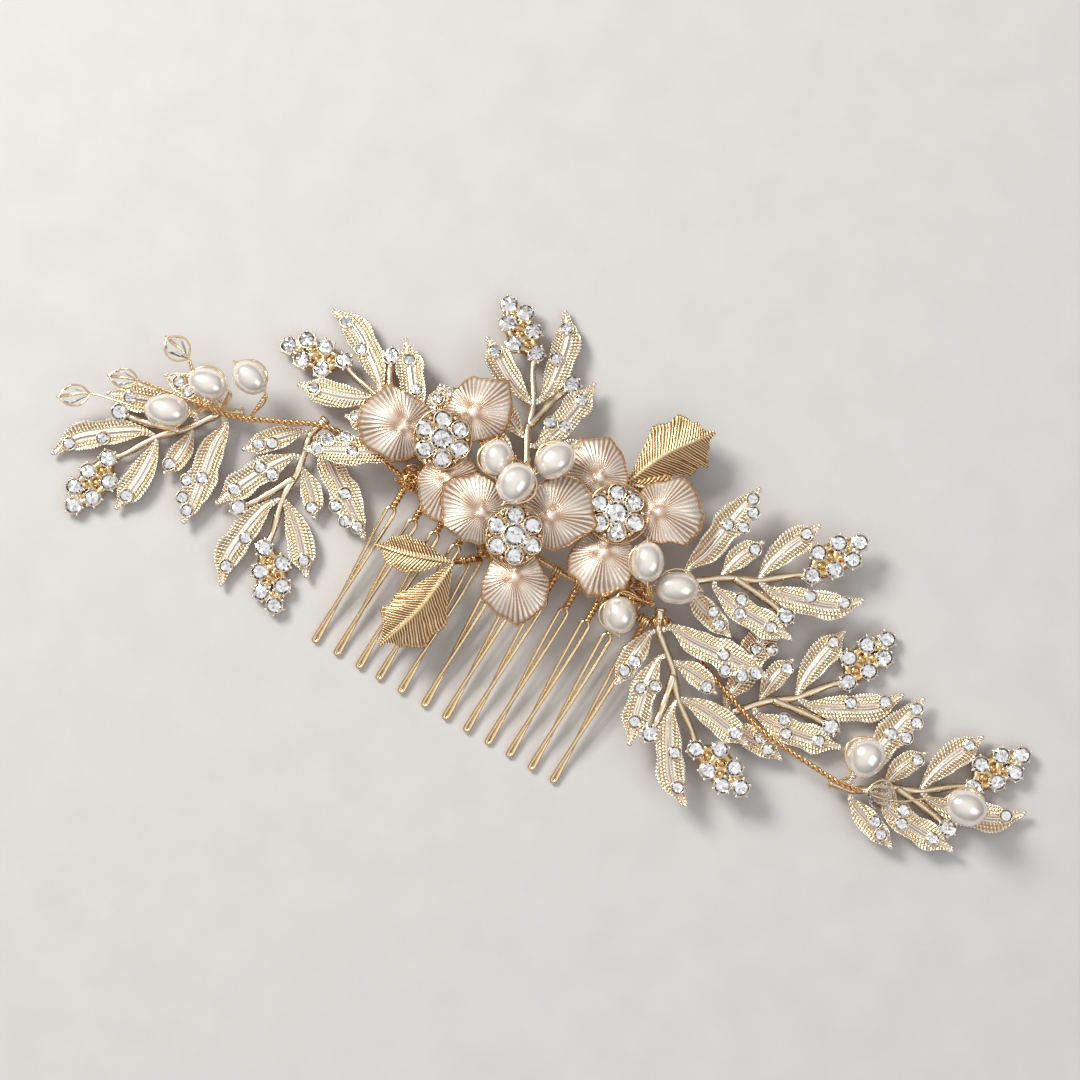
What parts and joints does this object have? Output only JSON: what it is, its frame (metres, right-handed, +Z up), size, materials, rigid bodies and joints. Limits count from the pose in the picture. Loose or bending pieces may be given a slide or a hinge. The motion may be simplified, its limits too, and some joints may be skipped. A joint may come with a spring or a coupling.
{
  "type": "decorative hair comb",
  "caption": "Bridal hair comb: wire tines on a spine with cast leaf sprays, enamelled flowers, pearls, rhinestones and crystal beads on bendable wires.",
  "frame": {"origin": "middle of the underside of the whole comb as it lies face up on a table", "axes": "+X along the spine towards the right wing, tines point to -Y, +Z up out of the face of the ornament"},
  "size_m": [0.1906, 0.0785, 0.0209],
  "materials": {
    "pale_gold_casting": "pale gold plated casting with cream enamel on the leaves",
    "gold_stamping": "gold plated stamped sheet, satin",
    "champagne_enamel": "champagne pearl enamel on stamped sheet with a gold edge",
    "gold_wire": "bright gold coloured craft wire",
    "rhinestone": "faceted foil-backed glass",
    "clear_crystal": "clear faceted glass bead",
    "pearl": "cream pearl lustre"
  },
  "bodies": {
    "comb": {"comb_spine": "gold_wire", "comb_tine_01": "gold_wire", "comb_tine_02": "gold_wire", "comb_tine_03": "gold_wire", "comb_tine_04": "gold_wire", "comb_tine_05": "gold_wire", "comb_tine_06": "gold_wire", "comb_tine_07": "gold_wire", "comb_tine_08": "gold_wire", "comb_tine_09": "gold_wire", "comb_tine_10": "gold_wire", "comb_tine_11": "gold_wire", "comb_tine_12": "gold_wire", "leaf_spray_right_upper": "pale_gold_casting", "spray_stones_right_upper": "rhinestone", "leaf_spray_right_lower": "pale_gold_casting", "spray_stones_right_lower": "rhinestone", "leaf_spray_left_upper": "pale_gold_casting", "spray_stones_left_upper": "rhinestone", "leaf_spray_top": "pale_gold_casting", "spray_stones_top": "rhinestone", "flower_petals_left": "champagne_enamel", "flower_setting_left": "pale_gold_casting", "flower_petals_middle": "champagne_enamel", "flower_setting_middle": "pale_gold_casting", "flower_petals_right": "champagne_enamel", "flower_setting_right": "pale_gold_casting", "flower_stones": "rhinestone", "gold_leaf_pair_lower": "gold_stamping", "gold_leaf_pair_upper": "gold_stamping", "pearl_wires_top": "gold_wire", "pearl_wires_right": "gold_wire", "binding_wire": "gold_wire"},
    "left_wing": {"leaf_spray_left_wing": "pale_gold_casting", "spray_stones_left_wing": "rhinestone", "left_wing_wire": "gold_wire"},
    "left_tip": {"leaf_spray_left_tip": "pale_gold_casting", "spray_stones_left_tip": "rhinestone", "left_tip_wires": "gold_wire"},
    "right_wing": {"leaf_spray_right_wing": "pale_gold_casting", "spray_stones_right_wing": "rhinestone", "right_wing_wire": "gold_wire"},
    "right_tip": {"leaf_spray_right_tip": "pale_gold_casting", "spray_stones_right_tip": "rhinestone", "right_tip_wires": "gold_wire"},
    "pearl_01_bead": {"pearl_01": "pearl"},
    "pearl_02_bead": {"pearl_02": "pearl"},
    "pearl_03_bead": {"pearl_03": "pearl"},
    "pearl_04_bead": {"pearl_04": "pearl"},
    "pearl_05_bead": {"pearl_05": "pearl"},
    "pearl_06_bead": {"pearl_06": "pearl"},
    "pearl_07_bead": {"pearl_07": "pearl"},
    "pearl_08_bead": {"pearl_08": "pearl"},
    "pearl_09_bead": {"pearl_09": "pearl"},
    "pearl_10_bead": {"pearl_10": "pearl"},
    "pearl_11_bead": {"pearl_11": "pearl"},
    "crystal_drop_1_bead": {"crystal_drop_1": "clear_crystal"},
    "crystal_drop_2_bead": {"crystal_drop_2": "clear_crystal"},
    "crystal_drop_3_bead": {"crystal_drop_3": "clear_crystal"},
    "crystal_round_bead": {"crystal_round": "clear_crystal"}
  },
  "joints": [
    {"name": "left_wing_bend", "type": "hinge", "parent": "comb", "child": "left_wing", "pos_m": [-0.03362, -0.00255, 0.00483], "axis": [0, 1, 0], "range_deg": [-25, 0]},
    {"name": "right_wing_bend", "type": "hinge", "parent": "comb", "child": "right_wing", "pos_m": [0.02138, -0.00055, 0.00333], "axis": [0, -1, 0], "range_deg": [-25, 0]},
    {"name": "left_tip_bend", "type": "hinge", "parent": "left_wing", "child": "left_tip", "pos_m": [-0.05882, -0.00585, 0.00483], "axis": [0, 1, 0], "range_deg": [-30, 30]},
    {"name": "right_tip_bend", "type": "hinge", "parent": "right_wing", "child": "right_tip", "pos_m": [0.05323, -0.0101, 0.00504], "axis": [0, -1, 0], "range_deg": [-30, 30]},
    {"name": "pearl_01_spin", "type": "hinge", "parent": "left_tip", "child": "pearl_01_bead", "pos_m": [-0.07592, -0.01425, 0.00853], "axis": [-0.9063, -0.4226, 0], "continuous": true},
    {"name": "pearl_02_spin", "type": "hinge", "parent": "left_tip", "child": "pearl_02_bead", "pos_m": [-0.07202, -0.00635, 0.00914], "axis": [-0.9848, -0.1736, 0], "continuous": true},
    {"name": "pearl_03_spin", "type": "hinge", "parent": "left_tip", "child": "pearl_03_bead", "pos_m": [-0.06602, -0.00145, 0.00864], "axis": [-0.9659, 0.2588, 0], "continuous": true},
    {"name": "pearl_04_spin", "type": "hinge", "parent": "comb", "child": "pearl_04_bead", "pos_m": [-0.01932, 0.00805, 0.01344], "axis": [-0.5, 0.866, 0], "continuous": true},
    {"name": "pearl_05_spin", "type": "hinge", "parent": "comb", "child": "pearl_05_bead", "pos_m": [-0.01002, 0.01295, 0.01473], "axis": [0.4226, 0.9063, 0], "continuous": true},
    {"name": "pearl_06_spin", "type": "hinge", "parent": "comb", "child": "pearl_06_bead", "pos_m": [-0.01392, 0.00555, 0.01753], "axis": [0, -1, 0], "continuous": true},
    {"name": "pearl_07_spin", "type": "hinge", "parent": "comb", "child": "pearl_07_bead", "pos_m": [0.01348, 0.00565, 0.01374], "axis": [-0.5, 0.866, 0], "continuous": true},
    {"name": "pearl_08_spin", "type": "hinge", "parent": "comb", "child": "pearl_08_bead", "pos_m": [0.02038, 0.00455, 0.01073], "axis": [0.9063, 0.4226, 0], "continuous": true},
    {"name": "pearl_09_spin", "type": "hinge", "parent": "comb", "child": "pearl_09_bead", "pos_m": [0.01388, -0.00485, 0.00983], "axis": [0.5, -0.866, 0], "continuous": true},
    {"name": "pearl_10_spin", "type": "hinge", "parent": "right_tip", "child": "pearl_10_bead", "pos_m": [0.06498, -0.00445, 0.00914], "axis": [0.1736, 0.9848, 0], "continuous": true},
    {"name": "pearl_11_spin", "type": "hinge", "parent": "right_tip", "child": "pearl_11_bead", "pos_m": [0.08498, -0.00305, 0.00873], "axis": [0.9848, 0.1736, 0], "continuous": true},
    {"name": "crystal_drop_1_spin", "type": "hinge", "parent": "left_tip", "child": "crystal_drop_1_bead", "pos_m": [-0.09212, -0.02035, 0.00694], "axis": [-0.8192, -0.5736, 0], "continuous": true},
    {"name": "crystal_drop_2_spin", "type": "hinge", "parent": "left_tip", "child": "crystal_drop_2_bead", "pos_m": [-0.08582, -0.01315, 0.00754], "axis": [-0.9397, -0.342, 0], "continuous": true},
    {"name": "crystal_drop_3_spin", "type": "hinge", "parent": "left_tip", "child": "crystal_drop_3_bead", "pos_m": [-0.08032, -0.00345, 0.00754], "axis": [-0.9659, 0.2588, 0], "continuous": true},
    {"name": "crystal_round_spin", "type": "hinge", "parent": "right_tip", "child": "crystal_round_bead", "pos_m": [0.07088, -0.00905, 0.00813], "axis": [0.9659, 0.2588, 0], "continuous": true}
  ]
}
